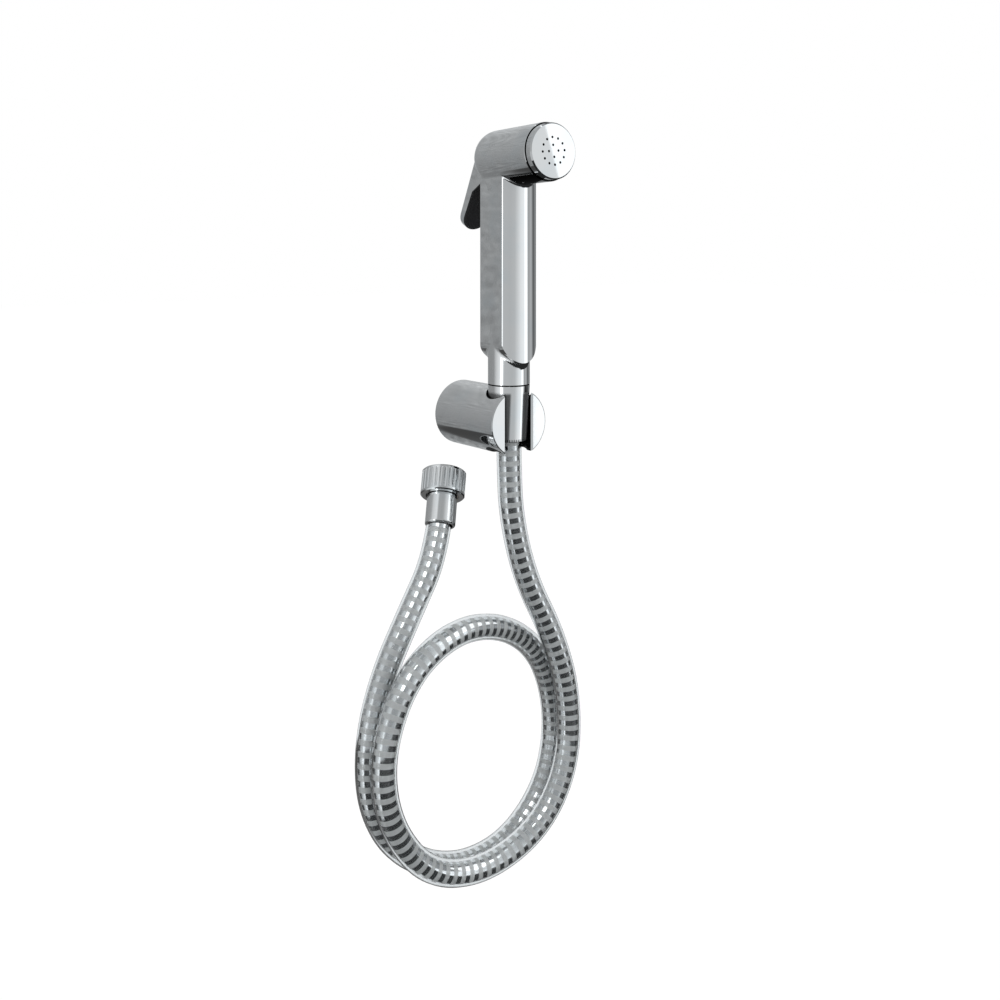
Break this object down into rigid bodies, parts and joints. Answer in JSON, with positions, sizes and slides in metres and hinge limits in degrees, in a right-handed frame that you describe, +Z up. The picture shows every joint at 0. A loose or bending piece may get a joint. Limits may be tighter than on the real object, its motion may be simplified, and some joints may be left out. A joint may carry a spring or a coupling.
{
  "type": "handheld bidet shower",
  "caption": "Trigger-operated handheld bidet spray in a round wall bracket, with a clear foil-banded hose looped to a fluted union nut.",
  "frame": {"origin": "middle of the bracket's wall face", "axes": "+Y into the wall, +Z up along the handset as it hangs in its bracket, +X to the right as seen from the room"},
  "size_m": [0.1422, 0.0885, 0.4137],
  "materials": {
    "handset_chrome": "bright chrome plate on ABS",
    "face_chrome": "bright chrome plate on ABS",
    "trigger_chrome": "bright chrome plate on ABS",
    "bracket_chrome": "bright chrome plate on ABS",
    "nut_chrome": "bright chrome plate on ABS",
    "union_chrome": "satin-bright chrome plate on brass",
    "dark_plastic": "moulded acetal",
    "brass": "turned",
    "steel": "drawn stainless wire",
    "foil": "bright metallised band",
    "clear_hose": "clear PVC",
    "rubber": "moulded"
  },
  "bodies": {
    "root": {"wall_bracket": "bracket_chrome", "hose_tube": "clear_hose", "top_insert": "brass", "top_ferrule": "foil", "inlet_ferrule": "union_chrome", "inlet_insert": "brass", "inlet_washer": "rubber"},
    "handset": {"handset_shell": "handset_chrome", "spray_face": "face_chrome", "face_seal": "rubber", "gland_nut": "brass", "valve_sleeve": "brass", "sleeve_seal_back": "rubber", "sleeve_seal_front": "rubber", "hinge_pin": "steel", "cone_nut": "nut_chrome", "hose_washer": "rubber", "valve_spring": "steel"},
    "trigger": {"trigger_cover": "trigger_chrome", "trigger_core": "dark_plastic"},
    "stem": {"valve_stem": "brass", "stem_seal": "rubber", "valve_washer": "rubber"},
    "union_nut": {"inlet_nut": "union_chrome"}
  },
  "joints": [
    {"name": "handset_swivel", "type": "hinge", "parent": "root", "child": "handset", "pos_m": [0, -0.047, 0], "axis": [0, 0, 1], "continuous": true},
    {"name": "trigger_hinge", "type": "hinge", "parent": "handset", "child": "trigger", "pos_m": [0, -0.036, 0.151], "axis": [-1, 0, 0], "range_deg": [0, 10], "stiffness_Nm_per_rad": 2},
    {"name": "stem_slide", "type": "slide", "parent": "handset", "child": "stem", "axis": [0, -1, 0], "range_m": [0, 0.0018], "deforming": ["valve_spring"]},
    {"name": "union_nut_spin", "type": "hinge", "parent": "root", "child": "union_nut", "pos_m": [-0.02315, -0.01623, -0.03391], "axis": [0.3584, 0.4054, 0.8409], "continuous": true}
  ],
  "couplings": [
    {"joint": "stem_slide", "follows": "trigger_hinge", "m_per_rad": 0.0101}
  ]
}
